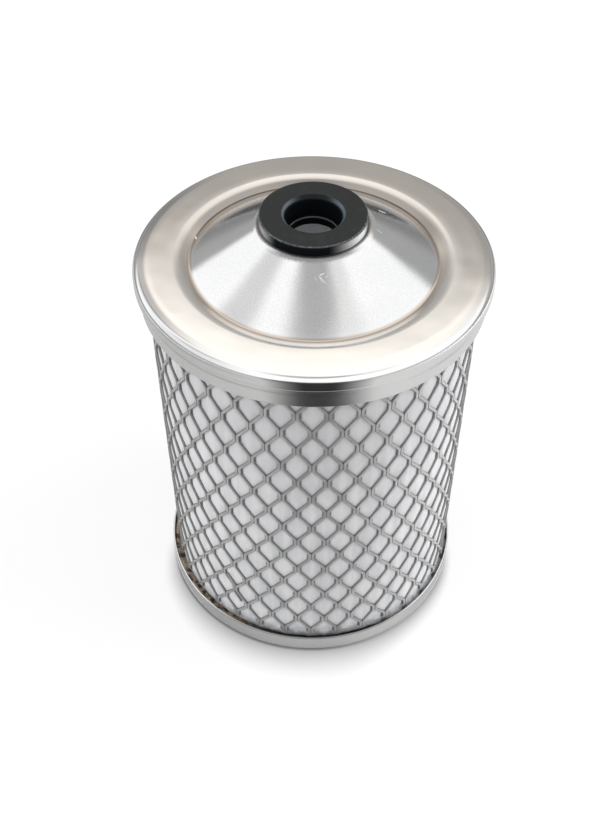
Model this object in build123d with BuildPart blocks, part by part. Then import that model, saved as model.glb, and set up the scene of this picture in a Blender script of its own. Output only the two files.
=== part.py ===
from build123d import *
import math
import os

# Diesel fuel filter element: two stamped end caps, a pleated pack and an expanded-metal cage.
# The origin is the centre of the foot, +Z runs up the axis, and lengths are in millimetres.

# Stamped sheet
sheet = 0.5
fit_gap = 0.1

# Top end cap
skirt_gap = 1.3
bead_bulge = 1.1
bead_round = 2.3
skirt_overlap = 0.3
skirt_height = 4.9
bead_height = 4.7
groove_inset = 1.45
groove_floor_width = 0.6
groove_wall_width = 2.7
groove_depth = 1.3
cone_rise = 9.3
neck_radius = 14.1
neck_bend = 1.2

# Rubber grommet, the same moulding in both caps
hole_radius = 10.2
flange_radius = 13.3
flange_thickness = 2.7
flange_edge_chamfer = 0.3
bore_radius = 7.0
bore_chamfer = 1.0
ledge_depth = 5.5
lip_radius = 6.1
lip_length = 2.4
inner_flange_radius = 12.4
inner_flange_thickness = 2.4
inner_flange_taper = 1.2

# Bottom end cap
rim_gap = 1.1
rim_height = 5.8
rim_bend = 0.6
foot_recess_inset = 1.95
foot_recess_slope = 2.6
foot_recess_depth = 3.2

# Adhesive in both caps
bottom_glue_floor = 2.6
glue_lip = 1.2
glue_lip_width = 0.8

# Expanded-metal cage
cage_radius = 42.3
cage_thickness = 0.9
cells_round = 34
cell_row_height = 12.0
cell_row_count = 8.5
strand_bond_width = 1.6
strand_bond_length = 1.4
first_cell_height = 1.3

# Non-woven wrap, pleated paper and slotted centre tube
wrap_thickness = 1.0
pleat_count = 48
pleat_depth = 7.0
paper_fold_width = 1.5
tube_wall = 0.6
tube_slot_width = 5.0
tube_slot_height = 12.0
tube_slots_round = 4
tube_slot_rows = 4

# Radii that follow from how the rings sit in each other
wrap_radius = (cage_radius - cage_thickness) * math.cos(math.pi / (2 * cells_round)) - fit_gap
pleat_radius = wrap_radius - wrap_thickness - fit_gap
tube_radius = pleat_radius - pleat_depth - fit_gap
glue_outer_radius = cage_radius + fit_gap + glue_lip_width
glue_inner_radius = tube_radius - tube_wall - fit_gap - glue_lip_width
groove_inner_radius = tube_radius - tube_wall - groove_inset
foot_recess_radius = glue_inner_radius - foot_recess_inset
skirt_radius = cage_radius + skirt_gap + sheet
rim_radius = cage_radius + rim_gap + sheet

# Heights, from the foot of the cage up to the cap's neck
top_glue_floor = first_cell_height + cell_row_count * cell_row_height
pack_height = top_glue_floor - bottom_glue_floor
skirt_foot_height = top_glue_floor - skirt_overlap
crease_height = skirt_foot_height + skirt_height
annulus_height = crease_height + bead_height
groove_floor_height = annulus_height - groove_depth
neck_height = annulus_height + cone_rise
foot_plateau_height = foot_recess_depth + sheet


def ring_point(radius, column):
    """Corner of the cage's polygon at a cell column, counted from the front."""
    angle = math.radians(column * 180 / cells_round - 90)
    return (radius * math.cos(angle), radius * math.sin(angle))


def column_plane(column):
    """Plane through the axis that faces out along a cell column, with its local Y upwards."""
    outward = ring_point(1, column)
    return Plane(origin=(0, 0, 0), x_dir=(-outward[1], outward[0], 0), z_dir=(outward[0], outward[1], 0))


# Top end cap: one stamped sheet, drawn along its middle line from the hole to the skirt
half_sheet = sheet / 2
bead_radius = skirt_radius + bead_bulge
with BuildPart() as top_end_cap:
    with BuildSketch(Plane.XZ):
        with BuildLine():
            FilletPolyline(
                (hole_radius, neck_height - half_sheet),
                (neck_radius, neck_height - half_sheet),
                (groove_inner_radius, groove_floor_height - half_sheet),
                (groove_inner_radius + groove_floor_width, groove_floor_height - half_sheet),
                (groove_inner_radius + groove_floor_width + groove_wall_width, annulus_height - half_sheet),
                (bead_radius - half_sheet, annulus_height - half_sheet),
                (bead_radius - half_sheet, crease_height + bead_bulge / 2),
                (skirt_radius - half_sheet, crease_height),
                (skirt_radius - half_sheet, skirt_foot_height),
                radius=[neck_bend, 0, 0, 0, bead_round, 0, 0],
            )
        trace(line_width=sheet)
    revolve(axis=Axis.Z)
top_end_cap.part.label = "top_end_cap"


def grommet_section(face_height, inward):
    """Points of the grommet's section, from its face inwards: +1 is up, -1 is down."""
    inner_face = flange_thickness + sheet
    depths = [
        (bore_radius + bore_chamfer, 0),
        (flange_radius, 0),
        (flange_radius, flange_thickness),
        (hole_radius - fit_gap, flange_thickness),
        (hole_radius - fit_gap, inner_face),
        (inner_flange_radius, inner_face),
        (inner_flange_radius, inner_face + inner_flange_thickness),
        (inner_flange_radius - inner_flange_taper, ledge_depth + lip_length),
        (lip_radius, ledge_depth + lip_length),
        (lip_radius, ledge_depth),
        (bore_radius, ledge_depth),
        (bore_radius, bore_chamfer),
    ]
    return [(radius, face_height + inward * depth) for radius, depth in depths]


# Top seal: its groove grips the edge of the hole in the cap's neck
with BuildPart() as top_seal:
    with BuildSketch(Plane.XZ):
        with BuildLine():
            Polyline(*grommet_section(neck_height + flange_thickness, -1), close=True)
        make_face()
    revolve(axis=Axis.Z)
    rims = top_seal.edges().filter_by(GeomType.CIRCLE)
    chamfer(rims.filter_by(lambda edge: abs(edge.radius - flange_radius) < fit_gap), flange_edge_chamfer)
top_seal.part.label = "top_seal"

# Bottom end cap: a shallow tray whose middle is drawn up to make room for the grommet's flange
with BuildPart() as bottom_end_cap:
    with BuildSketch(Plane.XZ):
        with BuildLine():
            FilletPolyline(
                (hole_radius, foot_plateau_height - half_sheet),
                (foot_recess_radius - foot_recess_slope, foot_plateau_height - half_sheet),
                (foot_recess_radius, half_sheet),
                (rim_radius - half_sheet, half_sheet),
                (rim_radius - half_sheet, rim_height),
                radius=[0, 0, rim_bend],
            )
        trace(line_width=sheet)
    revolve(axis=Axis.Z)
bottom_end_cap.part.label = "bottom_end_cap"

# Bottom seal: the same grommet turned over, its face just above the plane of the foot
with BuildPart() as bottom_seal:
    with BuildSketch(Plane.XZ):
        with BuildLine():
            Polyline(*grommet_section(foot_recess_depth - flange_thickness, 1), close=True)
        make_face()
    revolve(axis=Axis.Z)
    rims = bottom_seal.edges().filter_by(GeomType.CIRCLE)
    chamfer(rims.filter_by(lambda edge: abs(edge.radius - flange_radius) < fit_gap), flange_edge_chamfer)
bottom_seal.part.label = "bottom_seal"

# Cage: one repeat of the slit and stretched sheet, two flat facets wide, then turned round the axis
cell_width = 2 * math.pi * cage_radius / cells_round - strand_bond_width
cell_length = cell_row_height - strand_bond_length
first_row = math.floor((bottom_glue_floor - first_cell_height) / cell_row_height) - 1
last_row = math.ceil((top_glue_floor - first_cell_height) / cell_row_height) + 1
with BuildPart() as cage_repeat:
    with BuildSketch(Plane.XY.offset(bottom_glue_floor)):
        with BuildLine():
            Polyline(
                *[ring_point(cage_radius, column) for column in (-1, 0, 1)],
                *[ring_point(cage_radius - cage_thickness, column) for column in (1, 0, -1)],
                close=True,
            )
        make_face()
    extrude(amount=pack_height)
    for column in (-1, 0, 1):
        shift = first_cell_height if column == 0 else first_cell_height + cell_row_height / 2
        heights = [shift + row * cell_row_height for row in range(first_row, last_row)]
        with BuildSketch(column_plane(column)):
            with Locations(*[(0, height) for height in heights]):
                Polygon((cell_width / 2, 0), (0, cell_length / 2), (-cell_width / 2, 0), (0, -cell_length / 2))
    extrude(amount=cage_radius + sheet, mode=Mode.SUBTRACT)
with BuildPart() as cage:
    with PolarLocations(0, cells_round):
        add(cage_repeat.part)
cage.part.label = "cage"

# Non-woven wrap: a plain soft sleeve right behind the cage
with BuildPart() as media_wrap:
    with BuildSketch(Plane.XY.offset(bottom_glue_floor)):
        Circle(wrap_radius)
        Circle(wrap_radius - wrap_thickness, mode=Mode.SUBTRACT)
    extrude(amount=pack_height)
media_wrap.part.label = "media_wrap"


def pleat_outline(crest, valley):
    """Closed zigzag with a crest and a valley for each pleat."""
    points = []
    for step in range(2 * pleat_count):
        radius = crest if step % 2 == 0 else valley
        angle = math.pi * step / pleat_count
        points.append((radius * math.cos(angle), radius * math.sin(angle)))
    return points


# Pleated paper: one folded band, as wide along a radius as the slanted paper is there
with BuildPart() as pleated_media:
    with BuildSketch(Plane.XY.offset(bottom_glue_floor)):
        with BuildLine():
            Polyline(*pleat_outline(pleat_radius, pleat_radius - pleat_depth + paper_fold_width), close=True)
        make_face()
        with BuildLine():
            Polyline(*pleat_outline(pleat_radius - paper_fold_width, pleat_radius - pleat_depth), close=True)
        make_face(mode=Mode.SUBTRACT)
    extrude(amount=pack_height)
pleated_media.part.label = "pleated_media"

# Centre tube: slotted steel, with plain ends where it stands in the adhesive
slot_spacing = pack_height / (tube_slot_rows + 1)
with BuildPart() as centre_tube:
    with BuildSketch(Plane.XY.offset(bottom_glue_floor)):
        Circle(tube_radius)
        Circle(tube_radius - tube_wall, mode=Mode.SUBTRACT)
    extrude(amount=pack_height)
    for turn in range(tube_slots_round):
        angle = math.radians(360 * (turn + 0.5) / tube_slots_round)
        side = Plane(
            origin=(0, 0, bottom_glue_floor),
            x_dir=(-math.sin(angle), math.cos(angle), 0),
            z_dir=(math.cos(angle), math.sin(angle), 0),
        )
        with BuildSketch(side):
            with Locations(*[(0, slot_spacing * (row + 1)) for row in range(tube_slot_rows)]):
                Rectangle(tube_slot_width, tube_slot_height)
    extrude(amount=tube_radius + sheet, mode=Mode.SUBTRACT)
centre_tube.part.label = "centre_tube"


def glue_channel(floor, back, lip):
    """Section of an adhesive ring that the pack stands in, with a lip on each side of it."""
    return [
        (glue_inner_radius, back),
        (glue_outer_radius, back),
        (glue_outer_radius, lip),
        (glue_outer_radius - glue_lip_width, lip),
        (glue_outer_radius - glue_lip_width, floor),
        (glue_inner_radius + glue_lip_width, floor),
        (glue_inner_radius + glue_lip_width, lip),
        (glue_inner_radius, lip),
    ]


# Bottom adhesive: it fills the tray under the pack and shows as a tan band inside the rim
with BuildPart() as bottom_potting:
    with BuildSketch(Plane.XZ) as bottom_potting_section:
        with BuildLine():
            Polyline(*glue_channel(bottom_glue_floor, sheet, bottom_glue_floor + glue_lip), close=True)
        make_face()
        corners = bottom_potting_section.vertices()
        chamfer(corners.group_by(Axis.Y)[0].sort_by(Axis.X)[-1], rim_bend)
    revolve(axis=Axis.Z)
bottom_potting.part.label = "bottom_potting"

# Top adhesive: the same channel turned over, filled up to the annulus outside the cap's groove
groove_outer_radius = groove_inner_radius + groove_floor_width + groove_wall_width + sheet
groove_underside = groove_floor_height - sheet
with BuildPart() as top_potting:
    with BuildSketch(Plane.XZ) as top_potting_section:
        with BuildLine():
            Polyline(*glue_channel(top_glue_floor, groove_underside, skirt_foot_height), close=True)
        make_face()
        with BuildLine():
            Polyline(
                (groove_outer_radius, groove_underside),
                (groove_outer_radius, annulus_height - sheet),
                (glue_outer_radius, annulus_height - sheet),
                (glue_outer_radius, groove_underside),
                close=True,
            )
        make_face()
        corners = top_potting_section.vertices()
        chamfer(corners.group_by(Axis.Y)[-1].sort_by(Axis.X)[-1], bead_bulge)
    revolve(axis=Axis.Z)
top_potting.part.label = "top_potting"

pieces = [
    top_end_cap,
    top_seal,
    bottom_end_cap,
    bottom_seal,
    cage,
    media_wrap,
    pleated_media,
    centre_tube,
    bottom_potting,
    top_potting,
]
os.makedirs("parts", exist_ok=True)
for piece in pieces:
    export_step(piece.part, f"parts/{piece.part.label}.step")
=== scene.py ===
import math
import random

import bpy
from mathutils import Matrix, Vector, noise


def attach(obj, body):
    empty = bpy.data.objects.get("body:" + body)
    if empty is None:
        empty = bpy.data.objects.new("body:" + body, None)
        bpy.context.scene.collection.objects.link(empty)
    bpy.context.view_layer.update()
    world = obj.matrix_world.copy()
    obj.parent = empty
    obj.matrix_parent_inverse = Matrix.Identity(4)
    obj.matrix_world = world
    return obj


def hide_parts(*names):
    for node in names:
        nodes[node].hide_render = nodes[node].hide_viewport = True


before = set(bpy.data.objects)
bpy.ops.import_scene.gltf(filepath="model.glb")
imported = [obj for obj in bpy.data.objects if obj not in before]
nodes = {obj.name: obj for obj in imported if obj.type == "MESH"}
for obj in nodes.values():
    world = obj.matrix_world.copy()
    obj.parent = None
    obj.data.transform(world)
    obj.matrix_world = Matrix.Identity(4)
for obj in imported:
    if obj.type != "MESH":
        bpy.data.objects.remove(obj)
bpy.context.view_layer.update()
mm = 0.001  # the pieces are drawn in millimetres and built in metres
print("frame loaded:", len(nodes), "CAD nodes")

# Camera: fitted to the cap's rings and the cage's lattice in the photograph
view = {
    "place": (0.0, -212.42, 275.58),  # mm
    "down": 45.89,  # degrees below the horizon
    "turn": 0.37,  # degrees about Z
    "roll": 0.44,
    "lens": 46.72,
    "sensor": 36.0,
}


def aimCamera():
    camera = bpy.data.objects.new("photoCamera", bpy.data.cameras.new("photoCamera"))
    camera.data.lens = view["lens"]
    camera.data.sensor_width = view["sensor"]
    turned = Matrix.Rotation(math.radians(view["turn"]), 4, "Z")
    tipped = Matrix.Rotation(math.radians(90 - view["down"]), 4, "X")
    rolled = Matrix.Rotation(math.radians(view["roll"]), 4, "Z")
    camera.matrix_world = Matrix.Translation(Vector(view["place"]) * mm) @ turned @ tipped @ rolled
    bpy.context.scene.collection.objects.link(camera)
    bpy.context.scene.camera = camera


aimCamera()
print("camera set")


# Shader sockets in plain arithmetic
class Wire:
    def __init__(self, socket):
        self.socket = socket
        self.tree = socket.id_data

    def node(self, kind, settings=None, sockets=None, output=0):  # any node; settings go first
        made = self.tree.nodes.new("ShaderNode" + kind)
        for name, value in (settings or {}).items():
            setattr(made, name, value)
        for name, value in (sockets or {}).items():
            if isinstance(value, Wire):
                value.into(made.inputs[name])
            else:
                made.inputs[name].default_value = value
        return Wire(made.outputs[output])

    def into(self, socket):
        self.tree.links.new(self.socket, socket)

    def sum(self, operation, *values):
        return self.node("Math", {"operation": operation}, dict(enumerate(values)))

    def __add__(self, other):
        return self.sum("ADD", self, other)

    def __radd__(self, other):
        return self.sum("ADD", other, self)

    def __sub__(self, other):
        return self.sum("SUBTRACT", self, other)

    def __rsub__(self, other):
        return self.sum("SUBTRACT", other, self)

    def __neg__(self):
        return self.sum("SUBTRACT", 0.0, self)

    def __mul__(self, other):
        return self.sum("MULTIPLY", self, other)

    def __rmul__(self, other):
        return self.sum("MULTIPLY", other, self)

    def __truediv__(self, other):
        return self.sum("DIVIDE", self, other)

    def __rtruediv__(self, other):
        return self.sum("DIVIDE", other, self)

    def __pow__(self, other):
        return self.sum("POWER", self, other)

    def limit(self):
        return self.node("Clamp", None, {"Value": self})

    def rise(self, low, high):  # 0 below low, 1 above high, smooth between
        return self.node(
            "MapRange",
            {"interpolation_type": "SMOOTHSTEP"},
            {"Value": self, "From Min": low, "From Max": high, "To Min": 0.0, "To Max": 1.0},
        )

    def fall(self, low, high):  # 1 below low, 0 above high
        return 1 - self.rise(low, high)

    def size(self):  # without its sign
        return self.sum("ABSOLUTE", self)

    def atLeast(self, low):
        return self.sum("MAXIMUM", self, low)

    def wrapped(self, low, high):
        return self.sum("WRAP", self, high, low)

    def degreesFrom(self, centre):  # from turns, between -180 and 180
        return (self * 360 - centre).wrapped(-180.0, 180.0)

    def mixed(self, low, high):  # two colours, by this value
        return self.node("Mix", {"data_type": "RGBA"}, {0: self, 6: low, 7: high}, 2)

    def blended(self, low, high):  # two shaders, by this value
        return self.node("MixShader", None, {0: self, 1: low, 2: high})

    def dot(self, other):
        return self.node("VectorMath", {"operation": "DOT_PRODUCT"}, {0: self, 1: other}, "Value")

    def parts(self):  # x, y and z
        split = self.node("SeparateXYZ", None, {0: self}).socket.node
        return [Wire(socket) for socket in split.outputs]


def rgb(red, green, blue):
    return (red, green, blue, 1.0)


def newFinish(name):  # an empty material, its place in millimetres and its surface input
    finish = bpy.data.materials.new(name)
    finish.use_nodes = True
    tree = finish.node_tree
    tree.nodes.clear()
    output = tree.nodes.new("ShaderNodeOutputMaterial")
    coords = Wire(tree.nodes.new("ShaderNodeTexCoord").outputs["Object"])
    place = coords.node("VectorMath", {"operation": "SCALE"}, {0: coords, "Scale": 1 / mm})
    return finish, place, output.inputs["Surface"]


def principled(place, sockets):
    return place.node("BsdfPrincipled", None, sockets)


def glowing(place, strength):  # white light of one strength
    return place.node("Emission", None, {"Color": rgb(1, 1, 1), "Strength": strength})


def grain(place, scale, detail=2.0, roughness=0.5):
    sockets = {"Vector": place, "Scale": scale, "Detail": detail, "Roughness": roughness}
    return place.node("TexNoise", None, sockets)


def stretched(place, x, y, z):
    return place.node("VectorMath", {"operation": "MULTIPLY"}, {0: place, 1: (x, y, z)})


def turnsAt(x, y):
    return y.sum("ARCTAN2", y, x) / (2 * math.pi)


def aroundAxis(place):  # angle in turns, distance from the axis and height
    x, y, z = place.parts()
    return turnsAt(x, y), (x * x + y * y) ** 0.5, z


def bumpFrom(place, height, strength, distance):
    return place.node("Bump", None, {"Strength": strength, "Distance": distance * mm, "Height": height})


# Mesh helpers: a path's points are (radius, height, normal r, normal z)
def spun(a, b, angle):  # turned by an angle in radians
    return a * math.cos(angle) - b * math.sin(angle), a * math.sin(angle) + b * math.cos(angle)


def roundedPath(points, radii, closed=False, steps=6):  # normals to the left of the way
    path = []
    count = len(points)
    for i, (r, z) in enumerate(points):
        before = points[i - 1] if (closed or i > 0) else None
        after = points[(i + 1) % count] if (closed or i < count - 1) else None
        if before is None:
            out = Vector((after[0] - r, after[1] - z)).normalized()
            path.append((r, z, -out.y, out.x))
            continue
        inn = Vector((r - before[0], z - before[1])).normalized()
        if after is None:
            path.append((r, z, -inn.y, inn.x))
            continue
        out = Vector((after[0] - r, after[1] - z)).normalized()
        turn = inn.x * out.y - inn.y * out.x
        angle = math.acos(max(-1, min(1, inn.dot(out))))
        back = min(
            radii[i] * math.tan(angle / 2),
            0.45 * math.dist(before, (r, z)),  # never past the middle of a leg
            0.45 * math.dist(after, (r, z)),
        )
        radius = back / math.tan(angle / 2)
        side = 1 if turn > 0 else -1
        start = Vector((r, z)) - inn * back
        centre = start + Vector((-inn.y, inn.x)) * radius * side
        first = start - centre
        for step in range(steps + 1):
            spoke = Vector(spun(first.x, first.y, angle * step / steps * side))
            normal = -spoke.normalized() * side
            path.append((centre.x + spoke.x, centre.y + spoke.y, normal.x, normal.y))
    return path


def subdivided(path, longest, closed=False):
    made = []
    count = len(path)
    for i, point in enumerate(path):
        made.append(point)
        if i == count - 1 and not closed:
            break
        after = path[(i + 1) % count]
        pieces = max(1, math.ceil(math.dist(point[:2], after[:2]) / longest))
        for k in range(1, pieces):
            t = k / pieces
            r, z, nr, nz = [a * (1 - t) + b * t for a, b in zip(point, after)]
            normal = Vector((nr, nz)).normalized()
            made.append((r, z, normal.x, normal.y))
    return made


def edgeArc(end, half):  # half a turn over a sheet's edge, from one skin to the other
    r, z, nr, nz = end
    arc = []
    for step in range(1, 5):
        x, y = spun(nr, nz, -math.pi * step / 5)
        arc.append((r + x * half, z + y * half, x, y))
    return arc


def sheetSection(points, radii, thickness, longest=1.5):  # both skins of a bent sheet and its edges
    middle = subdivided(roundedPath(points, radii), longest)
    back = [(r, z, -nr, -nz) for r, z, nr, nz in reversed(middle)]
    half = thickness / 2
    section = []
    for skin in (middle, back):
        section += [(r + nr * half, z + nz * half, nr, nz) for r, z, nr, nz in skin]
        section += edgeArc(skin[-1], half)
    return section


def meshPiece(name, corners, faces, normals=None):
    mesh = bpy.data.meshes.new(name)
    mesh.from_pydata([(x * mm, y * mm, z * mm) for x, y, z in corners], [], faces)
    mesh.update()
    mesh.shade_smooth()
    if normals:
        mesh.normals_split_custom_set_from_vertices(normals)
    piece = bpy.data.objects.new(name, mesh)
    bpy.context.scene.collection.objects.link(piece)
    return piece


def lathed(name, section, segments):  # a closed section turned round the axis
    corners, normals, faces = [], [], []
    count = len(section)
    for turn in range(segments):
        angle = 2 * math.pi * turn / segments
        for r, z, nr, nz in section:
            corners.append((r * math.cos(angle), r * math.sin(angle), z))
            normals.append((nr * math.cos(angle), nr * math.sin(angle), nz))
        here, there = turn * count, (turn + 1) % segments * count
        for i in range(count):
            j = (i + 1) % count
            faces.append((here + i, here + j, there + j, there + i))
    return meshPiece(name, corners, faces, normals)


def dress(piece, finish, node):
    piece.data.materials.clear()
    piece.data.materials.append(finish)
    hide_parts(node)
    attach(piece, "root")


# Rubber grommets, the same moulding in both caps
grommet = {
    "topFace": 124.6,  # height of its outer face in each cap
    "bottomFace": 0.5,
    "aside": -0.3,  # the top one sits a little off centre and tilted in its hole
    "tilt": 1.0,  # degrees
    "tiltHeight": 123.6,
    "mouth": 7.75,
    "flange": 13.3,
    "flangeThick": 2.7,
    "waist": 10.1,
    "sheet": 0.5,
    "bore": 6.75,
    "chamfer": 1.0,
    "ledge": 5.5,
    "lip": 6.1,
    "lipLength": 2.4,
    "inner": 12.4,
    "innerThick": 2.4,
    "taper": 1.2,
    "segments": 128,
    "bevel": 7.2,  # radius about the middle of the chamfer
    "glint": (6.12, 5.55, 0.14),  # radius, depth and strength of the lit edge of the ledge
    "sheen": (0.5, 0.24),  # strength on the flange's side, to the right and to the left
    "scuffs": 0.6,
    "clouds": 0.3,
    "colour": rgb(0.003, 0.0042, 0.005),
    "tint": rgb(0.88, 0.97, 1.0),
    "dust": rgb(0.030, 0.033, 0.036),
    # painted highlight on the chamfer, on the left and right
    "litChamfer": rgb(0.07, 0.085, 0.105),
    "rimDust": rgb(0.16, 0.17, 0.18),
}

# Tinned steel of the two caps
tin = {
    "colour": rgb(0.87, 0.865, 0.86),
    "cool": rgb(0.81, 0.815, 0.82),
    # painted light on the front of the annulus
    "litAnnulus": rgb(0.95, 0.965, 0.97),
    "stain": rgb(0.50, 0.44, 0.38),
    "tarnish": rgb(0.70, 0.645, 0.59),
    "shade": rgb(0.46, 0.455, 0.45),
    # painted shade on the groove's wall at the back
    "backWallShade": rgb(0.33, 0.305, 0.28),
    # painted shade: the tray rim's front edge, the tray's sole and the ring round the top grommet
    "paintedShade": rgb(0.16, 0.16, 0.16),
    # painted shade just inside the bead, stronger on the left
    "edge": rgb(0.52, 0.53, 0.55),
    "scratched": rgb(0.95, 0.95, 0.95),
    "roughness": 0.11,
    "wearAndPaintedLight": {  # strengths, 0 to 1, of wear and of painted light and shade
        "streaks": 0.5,
        # painted shade on the tray rim's front edge, and before the top grommet
        "lipShade": 0.75,
        "sealShadeFront": 0.8,
        "groove": 0.85,
        "coneFoot": 0.6,
        # painted shade on the groove's wall at the back
        "backWallShade": 0.95,
        # painted light on the annulus, then painted shade on the bead
        "litAnnulus": 0.8,
        "bead": 0.45,
        "speckle": 0.19,
        "scratches": 0.8,  # how much less metallic they are
    },
    "dulled": {  # added roughness
        "skirt": 0.13,
        "paintedShade": 0.3,
        "crease": 0.3,
        "annulus": 0.13,
    },
    "bumps": {"ripple": 0.6, "fine": 0.015, "speckle": 0.045},
    "skirtLine": 106.5,  # height of the stain round the skirt
    "creaseLine": 108.1,
    "coneFoot": 31.2,  # radius
    "scratches": (  # on the dome: from, to and half width
        (1.1, -17.7, 2.8, -19.3, 0.14),
        (1.2, -17.7, 2.5, -17.1, 0.16),
        (1.3, -17.8, 1.9, -19.2, 0.1),
        (0.1, -17.9, 0.7, -18.8, 0.08),
        (2.6, -18.0, 3.4, -17.6, 0.08),
        (15.9, 8.9, 17.9, 9.4, 0.4),
        (14.9, -1.7, 16.4, -2.2, 0.12),
        (-30.4, 8.1, -29.9, 6.4, 0.3),
    ),
}


def scratchMask(x, y, fine):
    mask = fine * 0
    for x0, y0, x1, y1, width in tin["scratches"]:
        run = math.dist((x0, y0), (x1, y1))
        along = ((x - x0) * (x1 - x0) + (y - y0) * (y1 - y0)) / run
        across = ((x - x0) * (y1 - y0) - (y - y0) * (x1 - x0)) / run
        stroke = (across + 0.2 * (fine - 0.5)).size().fall(width * 0.3, width)
        stroke = stroke * (along - run / 2).size().fall(run * 0.3, run * 0.55)
        mask = mask.atLeast(stroke * min(1.0, 0.35 + width * 1.6))
    return mask


def tinFinish():
    finish, place, surface = newFinish("tinnedSteel")
    angle, radius, height = aroundAxis(place)
    x, y = place.parts()[:2]
    fromFront = angle.degreesFrom(-90.0).size()
    fromBack = angle.degreesFrom(90.0).size()
    cloud = grain(place, 0.05, 3.0)
    fine = grain(place, 1.6, 4.0, 0.6)
    speck = grain(place, 2.6, 4.0, 0.75)
    top = height.rise(108.0, 109.0)
    cone = radius.fall(29.5, 31.0) * top
    wearAndPaintedLight, dulled, bumps = tin["wearAndPaintedLight"], tin["dulled"], tin["bumps"]
    skirt = height.rise(101.5, 102.0) * height.fall(107.2, 108.2)
    crease = (height - tin["creaseLine"]).size().fall(0.15, 0.45) * radius.rise(43.0, 43.2)
    colour = cloud.rise(0.35, 0.7).mixed(tin["colour"], tin["cool"])

    # Stain round the skirt; painted shade on the tray rim's front edge and along its sole, and a painted
    # contact shadow round the top grommet, wider before it
    stain = grain(stretched(place, 1, 1, 6.0), 0.06, 3.0).rise(0.35, 0.65)
    streak = (height - tin["skirtLine"]).size().fall(0.1, 0.55) * stain * wearAndPaintedLight["streaks"]
    colour = streak.mixed(colour, tin["stain"])
    lip = height.rise(5.35, 5.5) * height.fall(8.0, 9.0) * fromFront.fall(25.0, 50.0) * wearAndPaintedLight["lipShade"]
    sole = height.fall(0.25, 1.2) * (1 - top)
    colour = lip.atLeast(sole).mixed(colour, tin["paintedShade"])
    aside = x - grommet["aside"]
    fromSeal = (aside * aside + y * y) ** 0.5
    fuzz = (fromSeal + 1.6 * (speck - 0.5)).fall(14.6, 15.4) * fromFront.fall(30.0, 55.0)
    paintedShade = (fromSeal + 0.5 * fine).fall(13.9, 14.6).atLeast(fuzz * wearAndPaintedLight["sealShadeFront"])
    paintedShade = paintedShade * height.rise(117.0, 119.0)
    colour = paintedShade.mixed(colour, tin["paintedShade"])

    # Tarnish in the ring groove, a darker line round the cone's foot, and painted shade on the groove's wall
    # and on the cone at the back
    outer = 33.0 + 1.6 * fromBack.fall(60.0, 120.0)
    groove = radius.rise(30.2, 31.2) * (radius - outer).fall(-1.0, 0.6) * top
    colour = (groove * wearAndPaintedLight["groove"]).mixed(colour, tin["tarnish"])
    # a darker line round the cone's foot, stronger at the front
    foot = (radius - tin["coneFoot"]).size().fall(0.1, 0.8) * top
    foot = foot * (0.3 + 0.7 * fromBack.rise(60.0, 120.0))
    colour = (foot * wearAndPaintedLight["coneFoot"]).mixed(colour, tin["stain"])
    backWallShade = fromBack.fall(60.0, 95.0) * radius.rise(30.6, 31.2) * radius.fall(32.8, 33.9) * top
    colour = (backWallShade * wearAndPaintedLight["backWallShade"]).mixed(colour, tin["backWallShade"])
    behind = fromBack.fall(30.0, 62.0) * radius.rise(15.0, 20.0) * radius.fall(30.0, 31.0) * top
    colour = behind.mixed(colour, tin["shade"])

    # Painted light on the front of the annulus, and painted shade where it turns into the bead
    litAnnulus = fromBack.rise(70.0, 130.0) * radius.rise(33.5, 35.5) * radius.fall(43.0, 44.0) * top
    colour = (litAnnulus * wearAndPaintedLight["litAnnulus"]).mixed(colour, tin["litAnnulus"])
    beadRingShade = radius.rise(41.6, 42.7) * radius.fall(43.6, 44.4) * height.rise(111.0, 111.5)
    beadRingShade = beadRingShade * (0.35 + 0.65 * x.fall(-10.0, 10.0))
    beadRingShade = beadRingShade * fromFront.rise(20.0, 70.0) * fromFront.fall(115.0, 150.0)
    colour = beadRingShade.mixed(colour, tin["edge"])
    beadShade = (fromFront - 40).size().fall(8.0, 26.0) * x.fall(-2.0, 2.0)
    beadShade = beadShade * radius.rise(44.0, 44.4) * height.rise(110.0, 110.6)
    colour = (beadShade * wearAndPaintedLight["bead"]).mixed(colour, tin["shade"])

    # Speckle and scratches on the cone
    colour = (speck.rise(0.38, 0.62) * cone * wearAndPaintedLight["speckle"]).mixed(colour, tin["shade"])
    scratch = scratchMask(x, y, fine) * top
    colour = scratch.mixed(colour, tin["scratched"])

    rough = tin["roughness"] + 0.05 * (fine - 0.5) + 0.04 * (cloud - 0.5)
    rough = rough + dulled["skirt"] * skirt + dulled["paintedShade"] * paintedShade + dulled["crease"] * crease
    rough = rough + dulled["annulus"] * radius.rise(31.2, 32.0) * radius.fall(34.5, 38.0) * top
    ripple = grain(place, 0.09, 1.0)
    bumpy = ripple * bumps["ripple"] + fine * bumps["fine"] + speck * cone * bumps["speckle"]
    sockets = {
        "Base Color": colour,
        "Metallic": 1 - wearAndPaintedLight["scratches"] * scratch,
        "Roughness": rough,
        "Normal": bumpFrom(place, bumpy, 0.35, 0.4),
    }
    principled(place, sockets).into(surface)
    return finish


tinned = tinFinish()

# Top end cap, along the middle of its sheet from the hole to the skirt
cap = {
    "sheet": 0.5,
    "hole": 10.2,
    "neck": (14.1, 121.9),
    "grooveIn": 31.006,
    "grooveFloor": 0.6,
    "grooveWall": 2.7,
    "grooveHeight": 111.3,
    "annulus": 112.6,
    "domeFrom": 41.4,
    "domeDrop": 0.24,
    "bead": 45.2,
    "skirt": 44.1,
    "crease": (43.82, 108.3),
    "creaseTop": 108.75,
    "shoulder": 107.95,
    "foot": 103.0,
    "bends": (0, 3.5, 0.9, 0.9, 5.0, 30.0, 2.2, 0.5, 0.12, 0.3, 0),
    "segments": 240,
}


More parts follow.
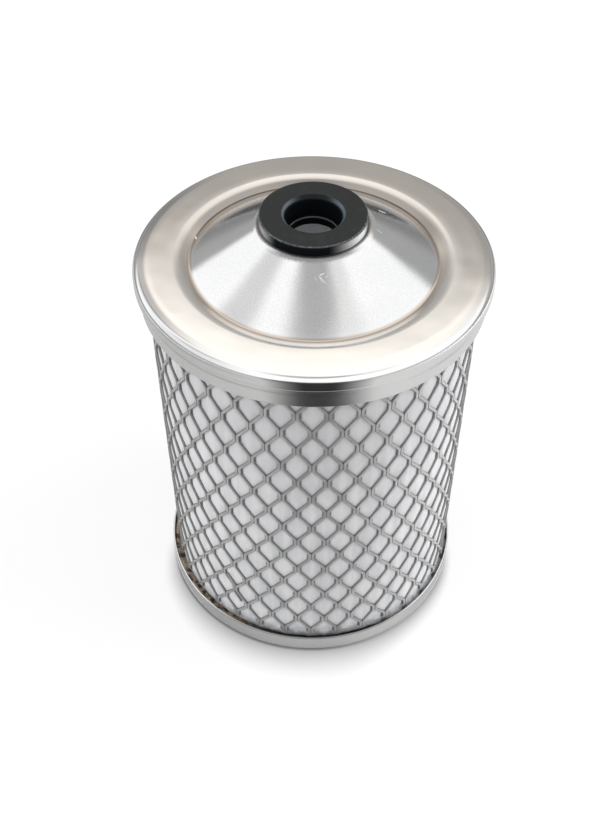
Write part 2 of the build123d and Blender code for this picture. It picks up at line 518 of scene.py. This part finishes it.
def capSection():
    half = cap["sheet"] / 2
    inner = cap["grooveIn"]
    floorEdge = inner + cap["grooveFloor"]
    points = [
        (cap["hole"], cap["neck"][1] - half),
        (cap["neck"][0], cap["neck"][1] - half),
        (inner, cap["grooveHeight"] - half),
        (floorEdge, cap["grooveHeight"] - half),
        (floorEdge + cap["grooveWall"], cap["annulus"] - half),
        (cap["domeFrom"], cap["annulus"] - half),
        (cap["bead"] - half, cap["annulus"] - half - cap["domeDrop"]),
        (cap["bead"] - half, cap["creaseTop"]),
        (cap["crease"][0] - half, cap["crease"][1]),
        (cap["skirt"] - half, cap["shoulder"]),
        (cap["skirt"] - half, cap["foot"]),
    ]
    return sheetSection(points, cap["bends"], cap["sheet"])


topCap = lathed("topCapShell", capSection(), cap["segments"])
dress(topCap, tinned, "top_end_cap")

# Bottom end cap: the tray that the pack stands in
tray = {
    "sheet": 0.5,
    "hole": 10.2,
    "plateau": 3.7,
    "recess": 29.606,
    "slope": 2.6,
    "rim": 43.9,
    "height": 5.8,
    "bends": (0, 1.0, 1.0, 0.6, 0),
    "segments": 240,
}


def traySection():
    half = tray["sheet"] / 2
    points = [
        (tray["hole"], tray["plateau"] - half),
        (tray["recess"] - tray["slope"], tray["plateau"] - half),
        (tray["recess"], half),
        (tray["rim"] - half, half),
        (tray["rim"] - half, tray["height"] - half),
    ]
    return sheetSection(points, tray["bends"], tray["sheet"])


bottomCap = lathed("bottomCapShell", traySection(), tray["segments"])
dress(bottomCap, tinned, "bottom_end_cap")
print("caps turned")


def grommetSection(face, way):  # from the outer face inwards, up or down
    g = grommet
    innerFace = g["flangeThick"] + g["sheet"]
    points = [  # radius, depth and bend
        (g["mouth"], 0, 0.12),
        (g["flange"], 0, 0.3),
        (g["flange"], g["flangeThick"], 0.3),
        (g["waist"], g["flangeThick"], 0.1),
        (g["waist"], innerFace, 0.1),
        (g["inner"], innerFace, 0.3),
        (g["inner"], innerFace + g["innerThick"], 0.5),
        (g["inner"] - g["taper"], g["ledge"] + g["lipLength"], 0.4),
        (g["lip"], g["ledge"] + g["lipLength"], 0.3),
        (g["lip"], g["ledge"], 0.15),
        (g["bore"], g["ledge"], 0.2),
        (g["bore"], g["chamfer"], 0.12),
    ]
    drawn = [(r, face + way * depth) for r, depth, bend in points]
    path = roundedPath(drawn, [bend for r, depth, bend in points], closed=True, steps=4)
    path = subdivided(path, 2.5, closed=True)
    if way < 0:  # drawn clockwise, so the left of the way is outside
        return path
    return [(r, z, -nr, -nz) for r, z, nr, nz in path]


def rubberFinish():
    finish, place, surface = newFinish("blackRubber")
    angle, radius, height = aroundAxis(place)
    x, y = place.parts()[:2]
    middle = grommet["topFace"] / 2
    depth = middle - (height - middle).size()  # below the outer face, in either cap
    upper = height.rise(60.0, 61.0)  # the top one alone
    aside = x - grommet["aside"] * upper
    fromBore = (aside * aside + y * y) ** 0.5
    cloud = grain(place, 0.25, 3.0)
    scuff = grain(stretched(place, 1.2, 0.35, 1.0), 1.1, 4.0, 0.65).rise(0.58, 0.75)
    dusty = (scuff * grommet["scuffs"] + cloud.rise(0.5, 0.8) * grommet["clouds"]).limit()
    colour = dusty.mixed(grommet["colour"], grommet["dust"])
    # Painted highlight on the chamfer's left and right sides
    bevel = fromBore.fall(7.7, 7.85) * depth.fall(1.0, 1.1)
    sideways = (aside / grommet["bevel"]).size().rise(0.35, 0.95)
    colour = (bevel * sideways).mixed(colour, grommet["litChamfer"])
    dots = grain(place, 5.0, 2.0).rise(0.45, 0.62)
    rim = fromBore.rise(12.85, 13.1) * depth.fall(0.35, 0.5) * dots
    colour = rim.mixed(colour, grommet["rimDust"])
    shiny = principled(
        place,
        {
            "Base Color": colour,
            "Roughness": 0.24 + 0.2 * cloud + 0.15 * scuff,
            "Specular IOR Level": 0.42,
            "Specular Tint": grommet["tint"],
            "Normal": bumpFrom(place, grain(place, 3.0, 3.0), 0.15, 0.05),
        },
    )
    toRight = angle.degreesFrom(-90.0)
    right, left = grommet["sheen"]
    sheen = toRight.rise(14.0, 60.0) * toRight.fall(60.0, 86.0) * right
    sheen = sheen + (-toRight).rise(42.0, 66.0) * (-toRight).fall(72.0, 92.0) * left
    sheen = sheen * radius.rise(12.0, 12.5) * depth.rise(0.3, 0.6) * upper
    at, deep, strength = grommet["glint"]
    glint = (fromBore - at).size().fall(0.08, 0.22) * (depth - deep).size().fall(0.12, 0.3)
    lit = sheen.atLeast(glint * y.rise(0.0, 3.0) * strength).mixed(grommet["colour"], rgb(1, 1, 1))
    dull = principled(place, {"Base Color": lit, "Roughness": 0.45, "Specular IOR Level": 0.03})
    side = depth.rise(0.35, 0.75).atLeast(bevel * (1 - sideways) * 0.6)
    side.blended(shiny, dull).into(surface)
    return finish


def tiltSeal(seal):
    height = grommet["tiltHeight"] * mm
    settled = Matrix.Rotation(math.radians(grommet["tilt"]), 4, "X")
    lowered = Matrix.Translation((0, 0, -height))
    seal.data.transform(Matrix.Translation((grommet["aside"] * mm, 0, height)) @ settled @ lowered)


rubber = rubberFinish()
topSeal = lathed("topGrommet", grommetSection(grommet["topFace"], -1), grommet["segments"])
tiltSeal(topSeal)
dress(topSeal, rubber, "top_seal")
bottomSeal = lathed("bottomGrommet", grommetSection(grommet["bottomFace"], 1), grommet["segments"])
dress(bottomSeal, rubber, "bottom_seal")
print("grommets turned")

# Expanded-metal cage: wavy strands that lie side by side at the bonds
cage = {
    "radius": 42.25,  # outside of the strands
    "halfPitch": 5.228,  # degrees between neighbouring columns of bonds
    "rows": 17,
    "rowStep": 6.0,
    "topBond": 97.29,
    "bondLength": 2.15,
    "strandWidth": 0.88,
    "strandDepth": 0.6,
    "corner": 0.1,
    "edge": 0.14,
    "twist": 9.0,  # degrees that a slanting strand turns its face
    "footCut": 3.5,
    "footFlare": 0.95,
    "flareHeight": 3.2,
    "topCut": 103.2,
    "seam": 180.0,  # where the sheet's ends lap, at the back
    "lap": 2,  # strands that lie double there
    "lapLift": 0.35,
    "wander": 0.14,
    "spurs": (  # cut ends of the sheet beside the strands: column and row, from and to
        ((-6.62, 12.05), (-5.97, 12.7)),
        ((-6.18, 13.2), (-5.53, 13.85)),
    ),
    "spurWidth": 0.7,
    "spurLift": 0.1,
    "lean": 0.4,  # mm that the pack stands to the right at its foot
    "leanHeight": 100.0,  # where it stands straight again
    "steel": rgb(0.46, 0.465, 0.46),
    "dull": rgb(0.35, 0.355, 0.35),
    # darker cut edges, also painted shade along each strand's edges
    "cutAndShade": rgb(0.25, 0.25, 0.25),
    # painted light on the right side of the cage
    "litSteel": rgb(0.62, 0.63, 0.64),
    "litRight": (0.45, 0.15),  # how much painted light the right side takes, on faces and on cuts
    "metallic": 0.55,
    "roughness": 0.40,
}
columnStep = math.radians(cage["halfPitch"]) * cage["radius"]  # mm
dice = random.Random(7)


def strandPath(index):  # (angle in degrees from the front, height) down one strand
    path = []
    aside = math.degrees(cage["strandWidth"] / 2 / cage["radius"])
    half = cage["bondLength"] / 2
    for row in range(-1, cage["rows"] + 1):
        atLow = (index + row) % 2 == 1
        column = index if atLow else index + 1
        angle = column * cage["halfPitch"] + (aside if atLow else -aside)
        height = cage["topBond"] - cage["rowStep"] * row
        height += cage["wander"] * noise.noise(Vector((round(column * 3.1, 3), row * 2.7, 5.0)))
        path.append((angle, height + half))
        path.append((angle, height - half))
    return path


def roundedStrand(path):  # unrolled to millimetres, with its corners eased
    reach = cage["corner"]
    perDegree = math.radians(1) * cage["radius"]
    flat = [Vector((angle * perDegree, height)) for angle, height in path]
    made = [flat[0]]
    for before, here, after in zip(flat, flat[1:], flat[2:]):
        up = (before - here).normalized()
        down = (after - here).normalized()
        made += [here + up * reach, here + (up + down) * reach * 0.25, here + down * reach]
    return made + [flat[-1]]


def strandSection(width):
    w, d = width / 2, cage["strandDepth"] / 2
    c = cage["edge"]
    outside = [(-w, d - c), (-w + c, d), (w - c, d), (w, d - c)]
    return outside + [(-a, -b) for a, b in outside]


def addStrand(line, width, lift, corners, faces):
    line = [p for p in line if cage["footCut"] <= p.y <= cage["topCut"]]
    section = strandSection(width)
    middle = cage["radius"] - cage["strandDepth"] / 2 + lift
    start = len(corners)
    twistPhase = dice.uniform(-0.1, 0.1)
    for i, p in enumerate(line):
        before, after = line[max(0, i - 1)], line[min(len(line) - 1, i + 1)]
        along = (after - before).normalized()
        lean = twistPhase - math.radians(cage["twist"]) * along.x
        flare = cage["footFlare"] * max(0.0, 1 - (p.y - cage["footCut"]) / cage["flareHeight"])
        for a, b in section:
            across, out = spun(a, b, lean)
            r = middle + out + flare
            angle = (p.x + along.y * across) / cage["radius"] - math.pi / 2
            corners.append((r * math.cos(angle), r * math.sin(angle), p.y - along.x * across))
    size = len(section)
    for i in range(len(line) - 1):
        for k in range(size):
            a = start + i * size + k
            b = start + i * size + (k + 1) % size
            faces.append((a, b, b + size, a + size))
    last = start + (len(line) - 1) * size
    faces.append(tuple(start + k for k in reversed(range(size))))
    faces.append(tuple(last + k for k in range(size)))


def leanPack(piece):
    for vertex in piece.data.vertices:
        vertex.co.x += cage["lean"] * mm * (1 - vertex.co.z / (cage["leanHeight"] * mm))


def buildCage():
    corners, faces = [], []
    first = -math.floor(cage["seam"] / cage["halfPitch"])
    last = math.ceil((360 - cage["seam"]) / cage["halfPitch"]) + cage["lap"]
    for index in range(first, last):
        past = index - (last - cage["lap"] - 2)
        lift = cage["lapLift"] * max(0, min(1, past / 2))
        addStrand(roundedStrand(strandPath(index)), cage["strandWidth"], lift, corners, faces)
    for ends in cage["spurs"]:
        line = [Vector((u * columnStep, cage["topBond"] - cage["rowStep"] * v)) for u, v in ends]
        addStrand(line, cage["spurWidth"], cage["spurLift"], corners, faces)
    piece = meshPiece("meshCage", corners, faces)
    leanPack(piece)
    piece.data.shade_flat()
    return piece


def cageFinish():
    finish, place, surface = newFinish("meshSteel")
    x, y = place.parts()[:2]
    level = place.node("CombineXYZ", None, {0: x, 1: y})
    outward = place.node("VectorMath", {"operation": "NORMALIZE"}, {0: level})
    flat = place.node("NewGeometry", output="Normal").dot(outward).rise(0.86, 0.94)  # the strands' faces
    cloud = grain(place, 0.35, 3.0)
    fine = grain(place, 4.0, 3.0)
    # painted light on the right side
    right = x.rise(8.0, 34.0)
    face = cloud.rise(0.3, 0.7).mixed(cage["steel"], cage["dull"])
    onFace, onCut = cage["litRight"]
    face = (right * onFace).mixed(face, cage["litSteel"])
    # the strands' sides and chamfers darker: cut edges and painted shade
    cutAndShade = (right * onCut).mixed(cage["cutAndShade"], cage["litSteel"])
    sockets = {
        "Base Color": flat.mixed(cutAndShade, face),
        "Metallic": cage["metallic"],
        "Roughness": cage["roughness"] + 0.2 * (1 - flat) + 0.15 * (fine - 0.5),
        "Normal": bumpFrom(place, fine, 0.2, 0.05),
    }
    principled(place, sockets).into(surface)
    return finish


meshCage = buildCage()
dress(meshCage, cageFinish(), "cage")
print("cage woven:", len(meshCage.data.polygons), "faces")

# Non-woven wrap: soft, pushed a little through the cells, tucked in at its foot
felt = {
    "radius": 41.68,
    "thickness": 1.3,
    "bulge": 0.12,
    "pleats": 52,
    "pleatDepth": 0.04,
    "foot": 3.0,
    "tuck": 0.7,
    "tuckHeight": 2.2,
    "hem": 0.9,  # pressed out on the right
    "top": 103.3,
    "columns": 552,
    "rows": 150,
    "hemRows": 16,  # closer ones at the foot
    "hemStep": 0.25,
    "colour": rgb(0.525, 0.525, 0.533),
    "shade": rgb(0.44, 0.443, 0.455),
    "blotch": rgb(0.26, 0.275, 0.30),
    # painted shade high up, under the cap
    "under": rgb(0.38, 0.38, 0.39),
    # painted shade beside the bonds and under the strands at the foot
    "strandShade": rgb(0.06, 0.06, 0.065),
    "wearAndPaintedLight": {"blotch": 0.75, "under": 0.5, "strandShade": 0.7, "hemShade": 0.8},  # strengths of the blotches and of painted shade
    "roughness": 0.95,
}


def smooth(value, low, high):
    t = max(0.0, min(1.0, (value - low) / (high - low)))
    return t * t * (3 - 2 * t)


def feltRadius(angle, height):
    u = ((math.degrees(angle) + 180) % 360 - 180) / cage["halfPitch"]
    v = (cage["topBond"] - height) / cage["rowStep"]
    cell = min(abs(math.cos(math.pi * (u + v) / 2)), abs(math.cos(math.pi * (u - v) / 2)))  # 0 under a strand
    bulge = felt["bulge"] * smooth(cell, 0.2, 0.75)
    fold = math.cos(felt["pleats"] * angle + 1.3 * noise.noise(Vector((angle * 3, height * 0.03, 0))))
    soft = noise.noise(Vector((angle * 6, height * 0.09, 3.0)))
    above = max(0.0, 1 - (height - felt["foot"]) / felt["tuckHeight"])
    pressed = smooth(math.sin(angle), 0.3, 0.75)  # on the right the hem is squeezed out against the rim
    tuck = (1 - pressed) * felt["tuck"] * (1 - math.sqrt(max(0.0, 1 - above * above)))
    tuck -= pressed * felt["hem"] * smooth(above, 0.0, 0.8)
    return felt["radius"] + bulge + felt["pleatDepth"] * (fold + 1.2 * soft) - tuck


def buildFelt():
    corners, faces = [], []
    foot, top = felt["foot"], felt["top"]
    rows, columns = felt["rows"], felt["columns"]
    heights = [foot + felt["hemStep"] * k for k in range(felt["hemRows"])]
    hemTop = foot + felt["hemStep"] * felt["hemRows"]
    evenly = [foot + (top - foot) * (i / rows) for i in range(rows + 1)]
    heights += [height for height in evenly if height > hemTop]
    for turn in range(columns):
        angle = 2 * math.pi * turn / columns
        for height in heights:
            r = feltRadius(angle, height)
            corners.append((r * math.sin(angle), -r * math.cos(angle), height))
    outer = len(corners)
    inner = felt["radius"] - felt["thickness"]
    for turn in range(columns):
        angle = 2 * math.pi * turn / columns
        for r, height in ((inner - 0.9 * felt["tuck"], foot), (inner, top)):
            corners.append((r * math.sin(angle), -r * math.cos(angle), height))
    count = len(heights)
    for turn in range(columns):
        here, there = turn * count, (turn + 1) % columns * count
        for i in range(count - 1):
            faces.append((here + i, there + i, there + i + 1, here + i + 1))
        a, b = outer + turn * 2, outer + (turn + 1) % columns * 2
        faces.append((here + count - 1, there + count - 1, b + 1, a + 1))
        faces.append((there, here, a, b))
        faces.append((a, a + 1, b + 1, b))
    piece = meshPiece("feltWrap", corners, faces)
    leanPack(piece)
    return piece


def feltFinish():
    finish, place, surface = newFinish("whiteFelt")
    x, y, height = place.parts()
    wearAndPaintedLight = felt["wearAndPaintedLight"]
    cloud = grain(place, 0.12, 4.0, 0.6)
    streak = grain(stretched(place, 1.0, 1.0, 0.12), 0.5, 3.0)
    fibre = grain(stretched(place, 1.0, 1.0, 0.6), 3.2, 5.0, 0.7)
    colour = (cloud * 0.5 + streak * 0.5).rise(0.38, 0.66).mixed(felt["colour"], felt["shade"])
    blotch = height.fall(5.0, 10.5) * grain(place, 0.55, 3.0).rise(0.32, 0.62)
    colour = (blotch * wearAndPaintedLight["blotch"]).mixed(colour, felt["blotch"])
    # painted shade under the cap, darker towards the top
    colour = (height.rise(55.0, 103.0) * wearAndPaintedLight["under"]).mixed(colour, felt["under"])

    # Painted shade beside each bond, and where the hem runs under a strand on the right
    column = turnsAt(x - cage["lean"] / 2, y).degreesFrom(-90.0) / cage["halfPitch"]
    row = (cage["topBond"] - height) / cage["rowStep"]
    whole = row.sum("ROUND", row)
    beside = (column + whole + 1.0).wrapped(-1.0, 1.0).size() * columnStep
    along = (row - whole).size() * cage["rowStep"]
    strandShade = beside.fall(1.05, 1.35) * along.fall(0.9, 1.35)
    colour = (strandShade * wearAndPaintedLight["strandShade"]).mixed(colour, felt["strandShade"])
    beneath = (column + 16.0).wrapped(-1.0, 1.0).size() * columnStep
    hemShade = beneath.fall(0.6, 1.4) * height.fall(4.5, 5.3) * x.rise(12.0, 22.0)
    colour = (hemShade * wearAndPaintedLight["hemShade"]).mixed(colour, felt["strandShade"])
    sockets = {
        "Base Color": colour,
        "Roughness": felt["roughness"],
        "Specular IOR Level": 0.2,
        "Normal": bumpFrom(place, fibre + cloud * 0.8, 0.5, 0.12),
    }
    principled(place, sockets).into(surface)
    return finish


feltWrap = buildFelt()
dress(feltWrap, feltFinish(), "media_wrap")
print("felt wrapped")

# Inner pieces keep their CAD shape
paper = {
    "light": rgb(0.72, 0.66, 0.52),
    "dark": rgb(0.62, 0.56, 0.43),
    "metallic": 0.0,
    "roughness": 0.85,
    "scale": 0.3,
    "bump": 0.05,
}
tube = {
    "light": rgb(0.60, 0.61, 0.63),
    "dark": rgb(0.5, 0.51, 0.53),
    "metallic": 0.6,
    "roughness": 0.45,
    "scale": 0.2,
    "bump": 0.03,
}
adhesive = {
    "tan": (rgb(0.62, 0.50, 0.37), rgb(0.44, 0.34, 0.24)),
    "tanAt": -151.0,  # degrees round the axis, on the left
    # darker elsewhere round the pack
    "darkTone": (rgb(0.10, 0.085, 0.07), rgb(0.035, 0.03, 0.027)),
    # painted light in the shadowed gap on the right
    "litGrey": rgb(0.36, 0.35, 0.34),
    "litGreyAt": -25.0,  # on the right, where the grey is painted light
    "roughness": 0.5,
}


def plainFinish(name, look):
    finish, place, surface = newFinish(name)
    cloud = grain(place, look["scale"], 4.0, 0.6)
    fine = grain(place, look["scale"] * 8, 3.0)
    sockets = {
        "Base Color": cloud.rise(0.3, 0.7).mixed(look["light"], look["dark"]),
        "Metallic": look["metallic"],
        "Roughness": look["roughness"] + 0.12 * (fine - 0.5),
        "Normal": bumpFrom(place, fine, 0.3, look["bump"]),
    }
    principled(place, sockets).into(surface)
    return finish


def adhesiveFinish():  # tan on the left, grey painted light on the right, darker elsewhere
    finish, place, surface = newFinish("tanAdhesive")
    angle = aroundAxis(place)[0]
    cloud = grain(place, 0.35, 4.0, 0.6)
    clear = 1 - grain(place, 0.45, 2.0).rise(0.46, 0.6)
    colour = cloud.rise(0.3, 0.7).mixed(*adhesive["darkTone"])
    tan = cloud.rise(0.3, 0.7).mixed(*adhesive["tan"])
    colour = (angle.degreesFrom(adhesive["tanAt"]).size().fall(22.0, 45.0) * clear).mixed(colour, tan)
    litGrey = angle.degreesFrom(adhesive["litGreyAt"]).size().fall(25.0, 45.0)
    colour = (litGrey * clear).mixed(colour, adhesive["litGrey"])
    sockets = {
        "Base Color": colour,
        "Roughness": adhesive["roughness"],
        "Normal": bumpFrom(place, cloud, 0.3, 0.15),
    }
    principled(place, sockets).into(surface)
    return finish


def repaint(node, finish):
    nodes[node].data.materials.clear()
    nodes[node].data.materials.append(finish)


repaint("pleated_media", plainFinish("filterPaper", paper))
repaint("centre_tube", plainFinish("tubeSteel", tube))
tanAdhesive = adhesiveFinish()
repaint("top_potting", tanAdhesive)
repaint("bottom_potting", tanAdhesive)
print("inner pieces painted")

# Stage: a pale floor with a painted contact shadow, under a soft studio sky
studio = {
    "floorSize": 3.0,  # metres
    "floor": rgb(0.80, 0.80, 0.80),
    "floorGlow": 0.72,
    "footRadius": 44.0,  # mm, where the object stands
    # glow inside the painted contact shadow
    "contactShadow": 0.25,
    "contactReach": 10.5,  # mm, how far the painted contact shadow reaches before the foot
    "sky": 1.20,
    "warm": rgb(1.0, 0.93, 0.855),
    "dim": 0.44,
    "roofEdge": 0.085,  # lower edge of the bright sky, as the height of a unit direction
    "roofBack": 0.49,  # how much higher it starts at the back
    "roofSoft": 0.12,
    "roofUneven": (0.11, 0.2),  # higher on the right, lower on the left
    "dips": (  # turn, climb, inner and outer angle, depth
        (180, 82, 6, 18, 0.58),
        (-86, 52, 4, 15, 0.32),
        (-30, 43, 4, 12, 0.48),
        (108, 74, 4, 14, 0.25),
        (183, -16, 20, 36, 0.9),
    ),
    "cardNear": 44.2,  # mm from the axis
    "cardFar": 1450.0,
    "cardHeight": 0.3,
    "cardSteps": 72,
    "cardTurn": 3.0,  # degrees to the right of the front
    "cardGlow": 0.033,
    "cardDim": 0.40,  # how dense the card is beside the object
    "footShadow": 0.55,  # and at its foot, a painted shadow seen in reflections
    "backDim": 0.93,
    "lamps": (  # name, x and y in metres, watts
        ("lampRight", 0.6, 0.05, 3.9),
        ("lampLeft", -0.55, -0.12, 1.9),
    ),
    "lampHeight": 0.22,
    "lampSize": (0.5, 0.4),
    "lampAim": 0.05,  # height that they point at
    "inside": 0.022,
    "insideHeight": 0.07,
    "insideSize": 0.004,
}


def buildFloor():
    half = studio["floorSize"] / 2 / mm
    corners = [(-half, -half, 0), (half, -half, 0), (half, half, 0), (-half, half, 0)]
    floor = meshPiece("floor", corners, [(0, 1, 2, 3)])
    finish, place, surface = newFinish("floorPaper")
    x, y = place.parts()[:2]
    radius = aroundAxis(place)[1]
    # Painted contact shadow before the foot, and a thin painted dark line at the foot, both seen by the
    # camera
    front = (-y / radius).atLeast(0.0)  # 1 straight before the object, 0 beside and behind it
    reach = studio["contactReach"] * front ** 0.8 + 0.5
    reach = reach * (1 - 0.4 * (x / studio["footRadius"]).rise(0.2, 0.8))
    shadowMask = (1 - (radius - studio["footRadius"]) / reach).atLeast(0.0) ** 1.4 * front.rise(0.0, 0.45)
    line = radius.fall(44.1, 44.7) * x.fall(0.0, 30.0)
    under = line.blended(glowing(place, studio["contactShadow"]), glowing(place, studio["contactShadow"] * 0.1))
    shaded = shadowMask.blended(glowing(place, 1.0), under)
    paperWhite = place.node("BsdfDiffuse", None, {"Color": studio["floor"]})
    seen = place.node("LightPath", output="Is Camera Ray")
    seen = seen + place.node("LightPath", output="Is Transmission Ray")
    white = studio["floorGlow"] + (1 - studio["floorGlow"]) * radius.rise(200.0, 600.0)
    (seen * white).blended(paperWhite, shaded).into(surface)
    floor.data.materials.append(finish)


def buildCard():  # a grey card on the floor that only reflections see, darkest before and behind the object
    corners, faces = [], []
    steps = studio["cardSteps"]
    for i in range(steps):
        angle = 2 * math.pi * i / steps
        for radius in (studio["cardNear"], studio["cardFar"]):
            corners.append((radius * math.cos(angle), radius * math.sin(angle), studio["cardHeight"]))
        j = (i + 1) % steps
        faces.append((2 * i, 2 * i + 1, 2 * j + 1, 2 * j))
    card = meshPiece("reflectionCard", corners, faces)
    card.visible_camera = False
    card.visible_diffuse = False
    card.visible_shadow = False
    card.visible_transmission = False
    finish, place, surface = newFinish("cardGrey")
    angle, radius = aroundAxis(place)[:2]
    aside = place.parts()[0] / radius
    right = aside.rise(0.1, 0.7)
    left = (-aside).rise(0.1, 0.7)
    front = angle.degreesFrom(studio["cardTurn"] - 90.0).size().fall(7.0, 50.0) * radius.rise(47.0, 90.0)
    back = angle.degreesFrom(90.0).size().fall(25.0, 70.0) * radius.rise(120.0, 420.0)
    # painted shade round the foot, seen only in reflections
    foot = studio["footShadow"] - 0.04 * (-aside).rise(0.6, 0.9) - 0.15 * right
    wide = studio["cardDim"] + 0.1 * left * radius.fall(200.0, 400.0) - 0.1 * right * radius.fall(70.0, 110.0)
    mask = front.atLeast(back * studio["backDim"]).atLeast(foot * radius.fall(47.0, 75.0)).atLeast(wide)
    mask.blended(place.node("BsdfTransparent"), glowing(place, studio["cardGlow"])).into(surface)
    card.data.materials.append(finish)


def addLamp(name, kind, place, power):  # not seen in the metal
    lamp = bpy.data.objects.new(name, bpy.data.lights.new(name, kind))
    lamp.data.energy = power
    lamp.location = place
    lamp.visible_glossy = False
    bpy.context.scene.collection.objects.link(lamp)
    return lamp


def addLamps():  # soft side light for the pack and a little inside it
    for name, x, y, power in studio["lamps"]:
        lamp = addLamp(name, "AREA", (x, y, studio["lampHeight"]), power)
        lamp.data.shape = "RECTANGLE"
        lamp.data.size, lamp.data.size_y = studio["lampSize"]
        aim = Vector((0, 0, studio["lampAim"])) - lamp.location
        lamp.rotation_mode = "QUATERNION"
        lamp.rotation_quaternion = aim.to_track_quat("-Z", "Y")
    lamp = addLamp("lampInside", "POINT", (0, 0, studio["insideHeight"]), studio["inside"])
    lamp.data.shadow_soft_size = studio["insideSize"]


def lightSky():
    world = bpy.data.worlds.new("studioSky")
    bpy.context.scene.world = world
    world.use_nodes = True
    tree = world.node_tree
    tree.nodes.clear()
    output = tree.nodes.new("ShaderNodeOutputWorld")
    way = Wire(tree.nodes.new("ShaderNodeTexCoord").outputs["Generated"])
    x, y, z = way.parts()

    def lobe(turn, climb, inner, outer):  # 1 inside a cone; turn is from the back, to the right
        a, e = math.radians(turn), math.radians(climb)
        aim = Vector((math.sin(a) * math.cos(e), math.cos(a) * math.cos(e), math.sin(e))).normalized()
        return way.dot(tuple(aim)).rise(math.cos(math.radians(outer)), math.cos(math.radians(inner)))

    level = ((x * x + y * y) ** 0.5).atLeast(0.01)
    ahead = y / level
    across = x / level
    right, left = studio["roofUneven"]
    uneven = right * across.atLeast(0.0) - left * (-across).atLeast(0.0) ** 2
    edge = studio["roofEdge"] + studio["roofBack"] * ahead.atLeast(0.0) ** 1.5 + uneven * ahead.rise(0.0, 0.5)
    roof = ((z - edge) / studio["roofSoft"]).rise(0.0, 1.0)
    dim = studio["dim"] * (0.6 + 0.4 * z.rise(0.0, 0.22)) + 0.3 * ahead.fall(-0.3, 0.5)
    light = dim + (studio["sky"] - dim) * roof
    for turn, climb, inner, outer, depth in studio["dips"]:
        light = light * (1 - depth * lobe(turn, climb, inner, outer))
    tint = lobe(0, 35, 10, 30).mixed(rgb(1, 1, 1), studio["warm"])
    sky = way.node("Background", None, {"Color": tint, "Strength": light})
    white = way.node("Background", None, {"Color": rgb(1, 1, 1), "Strength": 1.0})
    way.node("LightPath", output="Is Camera Ray").blended(sky, white).into(output.inputs["Surface"])


buildFloor()
buildCard()
lightSky()
addLamps()
bpy.context.scene.view_settings.view_transform = "Standard"
print("stage lit")
